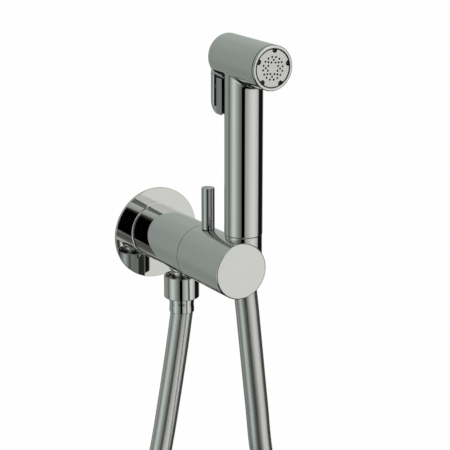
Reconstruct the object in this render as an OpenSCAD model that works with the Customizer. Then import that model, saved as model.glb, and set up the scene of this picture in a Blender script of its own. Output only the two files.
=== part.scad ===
// Wall mixer for a bidet shower: a round body on a rosette, a ring handle with a pin lever,
// and a hand shower that stands in a holder on the right of the body's front end.
// Origin: centre of the body's rear face, on the wall. The wall is behind, at +Y.
// The body's axis runs forward along -Y, and +X is to the right as seen from the front.

/* [Wall end] */
// Diameter of the rosette
rosette_d = 65; // [58:0.5:80]
// Thickness of the rosette
rosette_t = 1.5; // [1:0.1:3]
// Radial play of the rosette on the body, by which it also hangs low
rosette_play = 0.75; // [0.3:0.05:1.2]
// Distance from the axis to each inlet
inlet_offset = 8; // [7:0.25:9]
// Bore of each inlet, the core of an M10 fine thread
inlet_d = 9; // [7:0.5:10]
// Depth of each inlet's thread
inlet_depth = 9; // [7:0.5:10]
// Distance between the two fixing holes
fixing_spacing = 24; // [22:0.5:28]
// Diameter of each fixing hole, the core of an M5 thread
fixing_d = 4.2; // [3.2:0.1:5]
// Depth of each fixing hole
fixing_depth = 12; // [8:0.5:14]

/* [Body] */
// Diameter of the body, the handle ring and the front block
body_d = 37.5; // [37:0.5:42]
// Length of the fixed rear body, from the wall to the first seam
rear_len = 64; // [63:0.5:70]
// Length of the handle ring
ring_len = 20; // [18:0.5:26]
// Length of the front block
front_len = 30.6; // [30:0.1:36]
// Width of the seam behind the handle ring
rear_seam = 0.3; // [0.2:0.05:0.5]
// Width of the hairline seam in front of the handle ring
front_seam = 0.1; // [0.1:0.05:0.4]
// Thickness of the end cap
cap_t = 1.5; // [1:0.1:1.6]
// Width of the bright rim round the end cap
cap_rim = 0.9; // [0.7:0.1:1.5]

/* [Handle] */
// Diameter of the lever's rod
lever_d = 8.8; // [7:0.2:10]
// Height of the lever above the body
lever_rise = 28.25; // [20:0.25:45]
// Diameter of the lever's threaded shank
shank_d = 6; // [4:0.5:6]
// Angle through which the lever turns, from closed to fully hot
lever_travel = 90; // [60:5:100]

/* [Cartridge] */
// Diameter of the cartridge
cartridge_d = 26; // [24:0.5:26]
// Depth of the cartridge's seat from the wall
cartridge_seat = 18; // [17:0.5:19]
// Length of the cartridge housing
cartridge_len = 24.4; // [24:0.2:26]
// Diameter of the spindle
spindle_d = 8; // [7:0.5:9]
// Thickness of each ceramic disc
disc_t = 3; // [2:0.25:3.5]
// Diameter of the neck tube that carries the handle ring
neck_d = 28; // [27.5:0.5:29]
// Wall of the neck tube
neck_wall = 1.7; // [1.2:0.1:2]

/* [Outlet and hose] */
// Distance from the wall to the outlet's axis
outlet_at = 37.6; // [36:0.2:39]
// Diameter of the hose nut
nut_d = 24.2; // [23.6:0.1:28]
// Length of the hose nut
nut_len = 15.5; // [14:0.5:20]
// Gap between the body and the hose nut
nut_drop = 4.35; // [3:0.05:8]
// Diameter of the ferrules at the hose's ends
ferrule_d = 17.2; // [16.8:0.1:17.8]
// Length of the ferrules
ferrule_len = 10.3; // [8:0.1:12]
// Outer diameter of the hose
hose_d = 15.5; // [13:0.1:15.6]

/* [Holder] */
// Distance from the body's axis to the holder's axis
holder_x = 10.2; // [8:0.2:12]
// Diameter of the holder's collar
collar_d = 24.5; // [24.3:0.1:26]
// Distance from the end face back to the collar
holder_setback = 1.25; // [1.1:0.05:2]
// Height of the collar's top above the body
collar_rise = 1.85; // [1:0.05:4]
// Depth of the collar's foot below the body's axis
collar_foot = 14; // [11:0.5:17]
// Wall of the collar
collar_wall = 1; // [0.9:0.1:1.5]
// Wall of the plastic liner at its mouth
liner_wall = 0.95; // [0.8:0.05:1.2]
// Depth of the hand shower's conical tail in the holder
tail_depth = 16.9; // [14:0.1:18]

/* [Hand shower] */
// Diameter of the hand shower's tube
tube_d = 25; // [24.6:0.2:28]
// Wall of the hand shower's tube
tube_wall = 1.9; // [1.2:0.1:2.2]
// Height of the head's axis above the tube's lower end
head_height = 114.8; // [100:0.2:160]
// Diameter of the head
head_d = 29; // [28.6:0.2:34]
// Wall of the head round the spray face
head_wall = 2.1; // [1.6:0.1:2.6]
// Reach of the head in front of the tube's axis
head_front = 33.8; // [30:0.2:45]
// Reach of the head behind the tube's axis
head_back = 20.2; // [17:0.2:22]
// Rounding of the head's edges
head_edge = 1; // [0.4:0.1:1.4]
// Diameter of the spray plate
plate_d = 23.4; // [22:0.2:24]
// Diameter of each jet
jet_d = 0.8; // [0.5:0.1:1]
// Radius of each notch in the rim of the spray plate
notch_r = 1.8; // [1.2:0.1:2]

/* [Trigger] */
// Width of the trigger
trigger_w = 23.6; // [20:0.2:24.4]
// Distance from the tube's axis to the trigger's back
trigger_back = 21.4; // [21.2:0.1:24]
// Distance from the head's axis down to the trigger's foot
trigger_foot = 37.5; // [34:0.5:44]
// Gap between the tube and the trigger, which the squeeze takes up
trigger_gap = 3; // [2.6:0.1:3.4]
// Distance from the head's axis down to the trigger's pin
pivot_drop = 18.5; // [18.2:0.1:19]
// Distance from the tube's axis back to the trigger's pin
pivot_back = 16.6; // [16.4:0.1:16.8]
// Diameter of the trigger's pin
pivot_d = 2.6; // [2:0.2:2.8]
// Distance from the head's axis down to the valve stem
stem_drop = 28; // [27:0.2:30]
// Diameter of the valve stem
stem_d = 4; // [3:0.2:4.4]

/* [Hidden] */
$fn = 96;
// Small clearances: a seated piece, a running shaft, and two bodies that pass each other
fit = 0.05;
running = 0.08;
passing = 0.3;
// How far a cut runs past the face that it opens through
over = 1;

body_r = body_d / 2;
lever_setback = 0.3;
ring_from = rear_len + rear_seam;
ring_to = ring_from + ring_len;
block_from = ring_to + front_seam;
body_len = block_from + front_len;
lever_at = (ring_from + ring_to) / 2 - lever_setback;
cap_r = body_r - cap_rim;

collar_r = collar_d / 2;
holder_at = body_len - holder_setback - collar_r;
collar_top = body_r + collar_rise;
seat_z = collar_top + passing;
head_z = seat_z + head_height;
tube_r = tube_d / 2;
head_r = head_d / 2;
liner_r = collar_r - collar_wall - fit;

neck_r = neck_d / 2;
neck_bore_r = neck_r - neck_wall;
neck_grip = 4.6;
neck_to = block_from + neck_grip;
cavity_r = cartridge_d / 2 + fit;
port_seal_t = 1.6;
housing_from = cartridge_seat + port_seal_t;
housing_to = housing_from + cartridge_len;
cartridge_nut_len = 6.2;
neck_from = housing_to + cartridge_nut_len + 2 * fit;
neck_seat = neck_from - passing;
housing_base = 2.4;
housing_wall = 1.8;
housing_front = 3;
disc_r = cartridge_d / 2 - housing_wall - fit;
fixed_disc_at = housing_from + housing_base;
moving_disc_at = fixed_disc_at + disc_t + fit;
driver_at = moving_disc_at + disc_t + fit;
port_offset = 6.6;
port_r = 2.4;
hub_r = neck_bore_r - passing;
hub_lap = 2;
hub_lip = 4;
hub_from = ring_from - hub_lap;
hub_to = lever_at + shank_d / 2 + hub_lip;
// Across the flats of the spindle's square, as a share of its diameter
square_share = 0.7;
square_w = spindle_d * square_share;
square_end = lever_at - shank_d / 2 - 1;

// Stands a shape on the wall: its +Z becomes the way out along the body
module from_wall(distance = 0) {
    rotate([90, 0, 0])
        translate([0, 0, distance])
            children();
}

// Moves to the outlet's axis, Z up
module at_outlet() {
    translate([0, -outlet_at, 0])
        children();
}

// Moves to the hand shower's axis, Z up
module at_handset() {
    translate([holder_x, -holder_at, 0])
        children();
}

// Moves to the head's axis above the tube: +Z is the way out of the spray face
module along_head() {
    at_handset()
        translate([0, 0, head_z])
            rotate([90, 0, 0])
                children();
}

module tube(outer_r, inner_r, height) {
    difference() {
        cylinder(r = outer_r, h = height);
        translate([0, 0, -over])
            cylinder(r = inner_r, h = height + 2 * over);
    }
}

// A round bar with a chamfer at both ends
module chamfered_bar(radius, height, chamfer) {
    rotate_extrude()
        polygon([
            [0, 0], [radius - chamfer, 0], [radius, chamfer],
            [radius, height - chamfer], [radius - chamfer, height], [0, height]]);
}

// A rubber ring of round section that lies in the XY plane
module seal_ring(mean_r, section_r) {
    rotate_extrude()
        translate([mean_r, 0])
            circle(r = section_r, $fn = 24);
}

module both_inlets() {
    for (side = [-1, 1])
        translate([side * inlet_offset, 0, 0])
            children();
}

pocket_r = 4;
pocket_end = 16;
strainer_t = 0.8;
mesh_hole_r = 0.7;
mesh_hole_at = 2.2;
rosette_edge = 0.4;

module rosette() {
    color("gainsboro")
        from_wall()
            translate([0, -rosette_play + fit, 0])
                difference() {
                    rotate_extrude()
                        polygon([
                            [0, 0], [rosette_d / 2, 0], [rosette_d / 2, rosette_t - rosette_edge],
                            [rosette_d / 2 - rosette_edge, rosette_t], [0, rosette_t]]);
                    translate([0, 0, -over])
                        cylinder(r = body_r + rosette_play, h = rosette_t + 2 * over);
                }
}

module valve_body() {
    color("silver")
        difference() {
            from_wall()
                cylinder(r = body_r, h = rear_len);
            from_wall()
                inlet_cuts();
            from_wall(cartridge_seat)
                cylinder(r = cavity_r, h = rear_len);
            from_wall(neck_seat)
                cylinder(r = neck_r + fit, h = rear_len - neck_seat + over);
            at_outlet()
                translate([0, 0, -body_r - over])
                    cylinder(r = nipple_thread_r + fit, h = body_r);
        }
}

module inlet_cuts() {
    both_inlets() {
        translate([0, 0, -over])
            cylinder(r = inlet_d / 2, h = inlet_depth + over);
        cylinder(r = pocket_r, h = pocket_end);
    }
    for (side = [-1, 1]) {
        translate([side * port_offset, 0, pocket_end - over])
            cylinder(r = port_r, h = cartridge_seat - pocket_end + 2 * over);
        translate([0, side * fixing_spacing / 2, -over])
            cylinder(r = fixing_d / 2, h = fixing_depth + over);
    }
}

// Perforated discs that keep grit out of the valve
module inlet_strainers() {
    color("lightsteelblue")
        from_wall(inlet_depth + fit)
            both_inlets()
                difference() {
                    cylinder(r = pocket_r - fit, h = strainer_t);
                    for (turn = [0:60:300])
                        rotate(turn)
                            translate([mesh_hole_at, 0, -over])
                                cylinder(r = mesh_hole_r, h = strainer_t + 2 * over, $fn = 24);
                }
}

check_bore_r = 2.6;
poppet_at = 1.5;
poppet_t = 1.2;

// Non-return valves that stop hot and cold water crossing
module check_valves() {
    first = inlet_depth + strainer_t + 2 * fit;
    color("white")
        from_wall(first)
            both_inlets() {
                tube(pocket_r - fit, check_bore_r, pocket_end - first - fit);
                translate([0, 0, poppet_at])
                    cylinder(r = check_bore_r, h = poppet_t);
            }
}

// How much a seal's section is smaller than half its groove
seal_slack = 0.02;

module port_seals() {
    color("dimgray")
        from_wall(cartridge_seat + port_seal_t / 2)
            for (side = [-1, 1])
                translate([side * port_offset, 0, 0])
                    seal_ring(port_r + port_seal_t / 2, port_seal_t / 2 - seal_slack);
}

mixed_port_r = 3.2;
gland_at = 0.6;
gland_w = 1.8;

module cartridge_housing() {
    color("ivory")
        difference() {
            from_wall(housing_from)
                difference() {
                    cylinder(r = cartridge_d / 2, h = cartridge_len);
                    translate([0, 0, housing_base])
                        cylinder(r = disc_r + fit, h = cartridge_len - housing_base - housing_front);
                    for (side = [-1, 1])
                        translate([side * port_offset, 0, -over])
                            cylinder(r = port_r, h = housing_base + 2 * over);
                    translate([0, 0, cartridge_len - housing_front - over])
                        cylinder(r = spindle_d / 2 + running, h = housing_front + 2 * over);
                    translate([0, 0, cartridge_len - housing_front + gland_at])
                        cylinder(r = spindle_d / 2 + running + gland_w, h = gland_w);
                }
            at_outlet()
                translate([0, 0, -body_r])
                    cylinder(r = mixed_port_r, h = body_r);
        }
}

mix_slot = [8, 3];
mix_slot_at = 5;

// The ceramic disc that stays still, with its two inlet ports and the mixing slot
module fixed_disc() {
    color("white")
        from_wall(fixed_disc_at)
            difference() {
                cylinder(r = disc_r, h = disc_t);
                for (side = [-1, 1])
                    translate([side * port_offset, 0, -over])
                        cylinder(r = port_r, h = disc_t + 2 * over);
                translate([-mix_slot[0] / 2, -mix_slot_at - mix_slot[1], -over])
                    cube([mix_slot[0], mix_slot[1], disc_t + 2 * over]);
            }
}

// The ceramic disc that turns with the spindle and uncovers the ports
module moving_disc() {
    color("whitesmoke")
        from_wall(moving_disc_at)
            difference() {
                cylinder(r = disc_r - passing, h = disc_t);
                translate([0, -port_offset, -over])
                    cylinder(r = port_r, h = disc_t + 2 * over);
            }
}

driver_t = 2.8;
driver_inset = 2;

module spindle() {
    color("goldenrod")
        from_wall() {
            translate([0, 0, driver_at])
                difference() {
                    cylinder(r = disc_r - driver_inset, h = driver_t);
                    translate([0, -port_offset, -over])
                        cylinder(r = port_r, h = driver_t + 2 * over);
                }
            translate([0, 0, driver_at])
                cylinder(r = spindle_d / 2, h = hub_from - driver_at);
            translate([-square_w / 2, -square_w / 2, hub_from - over])
                cube([square_w, square_w, square_end - hub_from + over]);
        }
}

module spindle_seal() {
    color("dimgray")
        from_wall(housing_to - housing_front + gland_at + gland_w / 2)
            seal_ring(spindle_d / 2 + running + gland_w / 2, gland_w / 2 - seal_slack);
}

hex_r = 8;

// The ring that screws in on the cartridge, with a hexagon for its key
module cartridge_nut() {
    color("darkkhaki")
        from_wall(housing_to + fit)
            difference() {
                cylinder(r = cartridge_d / 2, h = cartridge_nut_len);
                translate([0, 0, -over])
                    cylinder(r = hex_r, h = neck_from, $fn = 6);
            }
}

// The slot follows the lever's shank over its travel, with room at both ends
slot_play = 0.5;
slot_half = asin((shank_d / 2 + slot_play) / neck_bore_r);
slot_reach = neck_r * 1.2;

module neck_tube() {
    color("darkgray")
        from_wall()
            difference() {
                translate([0, 0, neck_from])
                    tube(neck_r, neck_bore_r, neck_to - neck_from);
                translate([0, 0, lever_at - shank_d / 2 - slot_play])
                    linear_extrude(shank_d + 2 * slot_play)
                        polygon(concat([[0, 0]], [
                            for (step = [0:16])
                                let (turn = 90 - slot_half + step * (lever_travel + 2 * slot_half) / 16)
                                    slot_reach * [cos(turn), sin(turn)]]));
            }
}

module handle_ring() {
    color("silver")
        difference() {
            from_wall(ring_from)
                tube(body_r, neck_r + bush_wall + running + fit, ring_len);
            lever_hole();
        }
}

module lever_hole() {
    translate([0, -lever_at, 0])
        cylinder(r = shank_d / 2 + fit, h = body_r + over);
}

bush_wall = 1.5;
bush_len = 4;
bush_inset = 0.3;

module ring_bushes() {
    color("white")
        for (first = [ring_from + bush_inset, ring_to - bush_inset - bush_len])
            from_wall(first)
                tube(neck_r + running + bush_wall, neck_r + running, bush_len);
}

shank_foot = 6;
shank_lap = 2;
lever_chamfer = 0.35;

module lever() {
    color("silver") {
        difference() {
            translate([0, -lever_at, body_r - lever_d])
                chamfered_bar(lever_d / 2, lever_rise + lever_d, lever_chamfer);
            from_wall(ring_from)
                cylinder(r = body_r + fit, h = ring_len);
        }
        translate([0, -lever_at, shank_foot])
            cylinder(r = shank_d / 2, h = body_r + shank_lap - shank_foot);
    }
}

screw_r = 1.5;
screw_hex_r = 0.75;
screw_hex_depth = 1.6;
screw_chamfer = 0.2;
hub_screw_at = hub_from + 3.5;
screw_sink = 0.5;

// Carries the lever's turn to the spindle
module drive_hub() {
    color("darkkhaki")
        difference() {
            from_wall(hub_from)
                cylinder(r = hub_r, h = hub_to - hub_from);
            from_wall(hub_from)
                translate([-square_w / 2 - fit, -square_w / 2 - fit, -over])
                    cube([square_w + 2 * fit, square_w + 2 * fit, square_end - hub_from + over + passing]);
            translate([0, -lever_at, shank_foot - passing])
                cylinder(r = shank_d / 2 + fit, h = hub_r);
            translate([0, -hub_screw_at, -hub_r - over])
                cylinder(r = screw_r + fit, h = hub_r + over);
        }
}

module hub_screw() {
    color("dimgray")
        translate([0, -hub_screw_at, 0])
            rotate([180, 0, 0])
                translate([0, 0, square_w / 2 + 2 * fit])
                    socket_screw(hub_r - square_w / 2 - screw_sink);
}

// A grub screw with a hexagon socket in its upper end
module socket_screw(height) {
    difference() {
        chamfered_bar(screw_r, height, screw_chamfer);
        translate([0, 0, height - screw_hex_depth])
            cylinder(r = screw_hex_r, h = screw_hex_depth + over, $fn = 6);
    }
}

block_screw_at = block_from + neck_grip / 2;
peg_x = -9.5;
peg_z = 7;
peg_r = 2;
peg_len = 5.5;
peg_play = 0.2;
block_edge = 0.4;
cap_edge = 0.25;
collar_foot_edge = 1;
collar_lip_edge = 0.3;

module front_block() {
    color("silver")
        difference() {
            union() {
                from_wall(block_from)
                    rotate_extrude()
                        polygon([
                            [0, 0], [body_r, 0], [body_r, front_len - block_edge],
                            [body_r - block_edge, front_len], [0, front_len]]);
                at_handset()
                    translate([0, 0, -collar_foot])
                        rotate_extrude()
                            polygon([
                                [0, 0], [collar_r - collar_foot_edge, 0],
                                [collar_r, collar_foot_edge],
                                [collar_r, collar_foot + collar_top - collar_lip_edge],
                                [collar_r - collar_lip_edge, collar_foot + collar_top],
                                [0, collar_foot + collar_top]]);
            }
            at_handset()
                translate([0, 0, -body_r - over])
                    cylinder(r = collar_r - collar_wall, h = body_r + collar_top + 2 * over);
            from_wall(block_from - over)
                cylinder(r = neck_r + fit, h = neck_grip + over + fit);
            from_wall(body_len - cap_t)
                cylinder(r = cap_r, h = cap_t + over);
            from_wall(body_len - cap_t - peg_len)
                cap_pegs(peg_r + fit);
            translate([0, -block_screw_at, -body_r - over])
                cylinder(r = screw_r + fit, h = body_r + over - neck_r);
        }
}

module cap_pegs(radius) {
    for (side = [-1, 1])
        translate([peg_x, side * peg_z, 0])
            cylinder(r = radius, h = peg_len + over / 2);
}

module block_screw() {
    color("dimgray")
        translate([0, -block_screw_at, 0])
            rotate([180, 0, 0])
                translate([0, 0, neck_r + 2 * fit])
                    socket_screw(body_r - neck_r - screw_sink);
}

module end_cap() {
    color("gainsboro") {
        from_wall(body_len - cap_t)
            chamfered_bar(cap_r - fit, cap_t, cap_edge);
        from_wall(body_len - cap_t - peg_len + peg_play)
            cap_pegs(peg_r);
    }
}

// The tail and the liner share one taper, in radius for each unit of height
taper = 0.03;
tail_mouth_r = liner_r - liner_wall - passing;
tail_foot_z = seat_z - tail_depth;
liner_mouth_r = tail_mouth_r + passing;
// The liner stops short of both ends of the collar
liner_sink = 0.2;
liner_foot_r = liner_mouth_r - taper * (collar_top + collar_foot - 2 * liner_sink);

module holder_liner() {
    foot = -collar_foot + liner_sink;
    top = collar_top - liner_sink;
    color("dimgray")
        at_handset()
            rotate_extrude()
                polygon([
                    [liner_foot_r, foot], [liner_r, foot], [liner_r, top], [liner_mouth_r, top]]);
}

nipple_thread_r = 8.3;
nipple_top = -cavity_r - fit;
nipple_neck_r = 7;
nipple_bore_r = 4.5;
male_r = 10.3;
washer_t = 2;
male_edge = 0.6;
nut_top = -body_r - nut_drop;
nut_foot = nut_top - nut_len;
nut_floor = 2.2;
nut_edge = 0.5;
nut_lip = 0.3;
nut_flare = 0.7;
flare_depth = 1.2;
tail_flange_t = 2;
flange_top = nut_foot + nut_floor + tail_flange_t;
male_sink = 2.6;
male_top = nut_top - male_sink;
male_foot = flange_top + washer_t;
nipple_step = 0.2;
nipple_groove_w = 1.6;
nipple_groove_depth = 1;
nipple_groove_at = 1.6;

module outlet_nipple() {
    color("silver")
        at_outlet()
            difference() {
                rotate_extrude()
                    polygon([
                        [0, nipple_top], [nipple_thread_r, nipple_top],
                        [nipple_thread_r, -body_r + nipple_step],
                        [nipple_neck_r, -body_r + nipple_step - (nipple_thread_r - nipple_neck_r)],
                        [nipple_neck_r, male_top + male_edge],
                        [male_r - male_edge, male_top], [male_r, male_top - male_edge],
                        [male_r, male_foot + fit], [0, male_foot + fit]]);
                translate([0, 0, male_foot - over])
                    cylinder(r = nipple_bore_r, h = nipple_top - male_foot + 2 * over);
                nipple_groove();
            }
}

module nipple_groove() {
    translate([0, 0, -body_r + nipple_groove_at])
        tube(nipple_thread_r + over, nipple_thread_r - nipple_groove_depth, nipple_groove_w);
}

module nipple_seal() {
    color("dimgray")
        at_outlet()
            translate([0, 0, -body_r + nipple_groove_at + nipple_groove_w / 2])
                seal_ring(nipple_thread_r - nipple_groove_depth / 2, nipple_groove_depth / 2 - seal_slack);
}

module nut_washer() {
    color("dimgray")
        at_outlet()
            translate([0, 0, flange_top + fit])
                tube(male_r - passing, nipple_bore_r, washer_t - fit);
}

module hose_nut() {
    color("silver")
        at_outlet()
            rotate_extrude()
                polygon([
                    [tail_neck_r + fit, nut_foot], [nut_d / 2 - nut_edge, nut_foot],
                    [nut_d / 2, nut_foot + nut_edge], [nut_d / 2, nut_top - nut_lip],
                    [nut_d / 2 - nut_lip, nut_top], [male_r + fit + nut_flare, nut_top],
                    [male_r + fit, nut_top - flare_depth], [male_r + fit, nut_foot + nut_floor],
                    [tail_neck_r + fit, nut_foot + nut_floor]]);
}

tail_neck_r = 7;
barb_r = 4.2;
barb_bore_r = 3.2;
barb_len = 18;
ferrule_cap = 1.5;
ferrule_top = nut_foot - passing;
hose_top = ferrule_top - ferrule_cap - fit;

// The insert that carries the hose: a flange under the washer and a barb in the hose
module outlet_tail() {
    color("darkkhaki")
        at_outlet()
            rotate_extrude()
                polygon([
                    [barb_bore_r, flange_top], [male_r - passing, flange_top],
                    [male_r - passing, nut_foot + nut_floor + fit],
                    [tail_neck_r, nut_foot + nut_floor + fit],
                    [tail_neck_r, ferrule_top - ferrule_cap], [barb_r, hose_top],
                    [barb_r, hose_top - barb_len], [barb_bore_r, hose_top - barb_len]]);
}

ferrule_waist = 0.2;
ferrule_edge = 0.4;

// A crimped sleeve, drawn in a little at its middle
module ferrule(cap_bore_r) {
    outer_r = ferrule_d / 2;
    inner_r = hose_d / 2 + passing;
    rotate_extrude()
        polygon([
            [cap_bore_r, 0], [outer_r - ferrule_waist, 0], [outer_r, -ferrule_waist],
            [outer_r, -ferrule_len * 0.25], [outer_r - ferrule_waist, -ferrule_len * 0.5],
            [outer_r, -ferrule_len * 0.75], [outer_r, -ferrule_len + ferrule_edge],
            [outer_r - ferrule_edge, -ferrule_len], [inner_r, -ferrule_len],
            [inner_r, -ferrule_cap], [cap_bore_r, -ferrule_cap]]);
}

module outlet_ferrule() {
    color("silver")
        at_outlet()
            translate([0, 0, ferrule_top])
                ferrule(tail_neck_r + fit);
}

handset_ferrule_top = tail_foot_z - fit;
hose_end = handset_ferrule_top - ferrule_cap - passing;

module handset_ferrule() {
    color("silver")
        at_handset()
            translate([0, 0, handset_ferrule_top])
                ferrule(barb_r + fit);
}

// Route of the hose's axis below its two ends: down and out to the left, round the hanging
// loop, and up on the right into the holder
hose_route = [
    [-1.1, -37.6, -58], [-4.2, -37.6, -78], [-11, -38, -114], [-19.5, -39, -152], [-34, -41, -202],
    [-56, -44, -252], [-83, -48, -302], [-109, -52, -350], [-126, -57, -400], [-123, -62, -444],
    [-99, -67, -482], [-59, -71, -505], [-8, -75, -512], [43, -79, -507], [90, -83, -485],
    [124, -88, -446], [137, -92, -396], [129, -95, -348], [107, -97.5, -304], [81, -99.5, -260],
    [57, -101, -216], [38.5, -101.5, -176], [26.5, -101.5, -142], [20.5, -101.5, -98],
    [15.6, -101.5, -54], [12.9, -101.5, -29]];
// The hose runs straight inside each ferrule, up to just inside its mouth
mouth_sink = 0.5;
hose_path = concat(
    [[0, -outlet_at, hose_top], [0, -outlet_at, ferrule_top - ferrule_len + mouth_sink]],
    hose_route,
    [[holder_x, -holder_at, handset_ferrule_top - ferrule_len + mouth_sink],
     [holder_x, -holder_at, hose_end]]);
hose_sides = 12;
hose_steps = 2;

// A point of the smooth curve through the path, at a whole number plus a share of the way
function held(index) = hose_path[max(0, min(len(hose_path) - 1, index))];
function smooth(a, b, c, d, t) =
    0.5 * (2 * b + (c - a) * t + (2 * a - 5 * b + 4 * c - d) * t * t + (3 * b - a - 3 * c + d) * t * t * t);
function curve_point(i, t) = smooth(held(i - 1), held(i), held(i + 1), held(i + 2), t);
hose_points = concat(
    [for (i = [0:len(hose_path) - 2]) for (step = [0:hose_steps - 1]) curve_point(i, step / hose_steps)],
    [hose_path[len(hose_path) - 1]]);

function unit(v) = v / norm(v);
function heading(points, i) =
    i == 0 || i == len(points) - 1 ? [0, 0, i == 0 ? -1 : 1] : unit(points[i + 1] - points[i - 1]);
// The ring's first side direction always lies across the loop's plane, so the tube can't twist
function ring_of(centre, along, radius, sides) =
    let (across = unit(cross(along, [0.2, 1, 0])), third = cross(along, across))
        [for (k = [0:sides - 1])
            centre + radius * (cos(360 * k / sides) * across + sin(360 * k / sides) * third)];

module swept(points, headings, radius, sides) {
    last = len(points) - 1;
    rings = [for (i = [0:last]) each ring_of(points[i], headings[i], radius, sides)];
    skin = [
        for (i = [0:last - 1]) for (k = [0:sides - 1])
            let (a = i * sides + k, b = i * sides + (k + 1) % sides)
                each [[a, b, b + sides], [a, b + sides, a + sides]]];
    first_cap = [for (k = [1:sides - 2]) [0, k + 1, k]];
    last_cap = [for (k = [1:sides - 2]) [last * sides, last * sides + k, last * sides + k + 1]];
    polyhedron(rings, concat(skin, first_cap, last_cap));
}

module hose() {
    color("lightgray")
        swept(hose_points, [for (i = [0:len(hose_points) - 1]) heading(hose_points, i)],
              hose_d / 2, hose_sides);
}

tube_bore_r = tube_r - tube_wall;
tail_thread = 12;
water_r = 5;
water_bore_r = 3.8;
water_lap = 6;
groove_w = 1.4;
groove_depth = 1;
tail_groove_at = 3;

// Screws into the tube, and its cone seats in the holder's liner
module handset_tail() {
    color("silver")
        at_handset()
            difference() {
                rotate_extrude()
                    polygon([
                        [0, tail_foot_z], [tail_mouth_r - taper * tail_depth, tail_foot_z],
                        [tail_mouth_r, seat_z], [tube_bore_r - fit, seat_z],
                        [tube_bore_r - fit, seat_z + tail_thread], [0, seat_z + tail_thread]]);
                translate([0, 0, tail_foot_z - over])
                    cylinder(r = water_bore_r, h = tail_depth + tail_thread + 2 * over);
                translate([0, 0, seat_z + tail_thread - water_lap])
                    cylinder(r = water_r + fit, h = water_lap + over);
                translate([0, 0, seat_z + tail_thread - tail_groove_at])
                    tube(tube_r, tube_bore_r - fit - groove_depth, groove_w);
            }
}

module tail_seal() {
    color("dimgray")
        at_handset()
            translate([0, 0, seat_z + tail_thread - tail_groove_at + groove_w / 2])
                seal_ring(tube_bore_r - fit - groove_depth / 2, groove_depth / 2 - seal_slack);
}

housing_z = head_z - stem_drop;
housing_gap = 3;
housing_top = head_z - head_r - housing_gap;
housing_foot = housing_z - 12;
pivot_z = head_z - pivot_drop;
ear_w = 3.7;
ear_from = -4.1;
ear_r = 2.6;
ear_root = tube_bore_r + 0.5;

module handset_tube() {
    color("silver")
        difference() {
            at_handset()
                union() {
                    translate([0, 0, seat_z])
                        cylinder(r = tube_r, h = head_height);
                    pivot_ear();
                }
            at_handset()
                translate([0, 0, seat_z - over])
                    cylinder(r = tube_bore_r, h = head_height + 2 * over);
            along_head()
                translate([0, 0, -head_back])
                    cylinder(r = head_r + fit, h = head_back + head_front);
            at_stem()
                cylinder(r = stem_d / 2 + passing, h = tube_r + over);
            at_pivot()
                translate([0, 0, ear_from - over])
                    cylinder(r = pivot_d / 2 + running, h = ear_w + 2 * over, $fn = 48);
        }
}

// Moves to the valve stem's axis at the tube: +Z points back, at the trigger
module at_stem() {
    at_handset()
        translate([0, 0, housing_z])
            rotate([-90, 0, 0])
                children();
}

// Moves to the trigger's pin: +Z points to the right
module at_pivot() {
    at_handset()
        translate([0, pivot_back, pivot_z])
            rotate([0, 90, 0])
                children();
}

module pivot_ear() {
    translate([ear_from, 0, pivot_z]) {
        translate([0, pivot_back, 0])
            rotate([0, 90, 0])
                cylinder(r = ear_r, h = ear_w, $fn = 48);
        translate([0, ear_root, -ear_r])
            cube([ear_w, pivot_back - ear_root, 2 * ear_r]);
    }
}

module water_tube() {
    foot = seat_z + tail_thread - water_lap + fit;
    color("ivory")
        at_handset()
            translate([0, 0, foot])
                tube(water_r, water_bore_r, housing_foot + housing_lap - 2 * fit - foot);
}

housing_lap = 3;
chamber_r = 4.8;
chamber_floor = 1.5;
seat_from = -1;
gland_from = 3.5;
gland_gap = 1.1;
stem_gland_at = 6.2;
stem_gland_w = 1.6;
feed_at = -4.5;
feed_r = 3;
feed_from = 2;
outlet_back = 1.4;
riser_bore_r = 2.2;
riser_r = 3.2;
riser_lap = 3;

module valve_housing() {
    color("ivory")
        difference() {
            at_handset()
                translate([0, 0, housing_foot])
                    cylinder(r = tube_bore_r - fit, h = housing_top - housing_foot);
            at_handset()
                translate([0, 0, housing_foot - over])
                    cylinder(r = water_r + fit, h = housing_lap + over);
            at_handset()
                translate([0, feed_at, housing_foot + feed_from])
                    cylinder(r = feed_r, h = housing_z - housing_foot - feed_from);
            at_handset()
                translate([0, outlet_back, housing_z])
                    cylinder(r = riser_bore_r, h = stem_drop);
            at_handset()
                translate([0, outlet_back, housing_top - riser_lap])
                    cylinder(r = riser_r + fit, h = riser_lap + over);
            at_stem() {
                translate([0, 0, -tube_bore_r + chamber_floor])
                    cylinder(r = chamber_r, h = tube_bore_r - chamber_floor + seat_from);
                translate([0, 0, seat_from - over])
                    cylinder(r = stem_d / 2 + gland_gap, h = gland_from - seat_from + over);
                cylinder(r = stem_d / 2 + running, h = tube_r);
                translate([0, 0, stem_gland_at])
                    cylinder(r = stem_d / 2 + running + stem_gland_w, h = stem_gland_w);
            }
        }
}

module stem_seal() {
    color("dimgray")
        at_stem()
            translate([0, 0, stem_gland_at + stem_gland_w / 2])
                seal_ring(stem_d / 2 + running + stem_gland_w / 2, stem_gland_w / 2 - seal_slack);
}

saddle_slack = 0.4;
saddle_r = tube_r + saddle_slack;
saddle_at = trigger_gap - saddle_slack;
pad_t = 2;
pad_gap = 0.6;
stem_head_t = 0.8;
stem_head_gap = 1.2;

module valve_stem() {
    first = seat_from - passing - pad_t;
    color("goldenrod")
        at_stem() {
            translate([0, 0, first - stem_head_t])
                cylinder(r = chamber_r - stem_head_gap, h = stem_head_t);
            translate([0, 0, first - stem_head_t])
                cylinder(r = stem_d / 2, h = tube_r + trigger_gap - passing - first + stem_head_t);
        }
}

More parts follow.
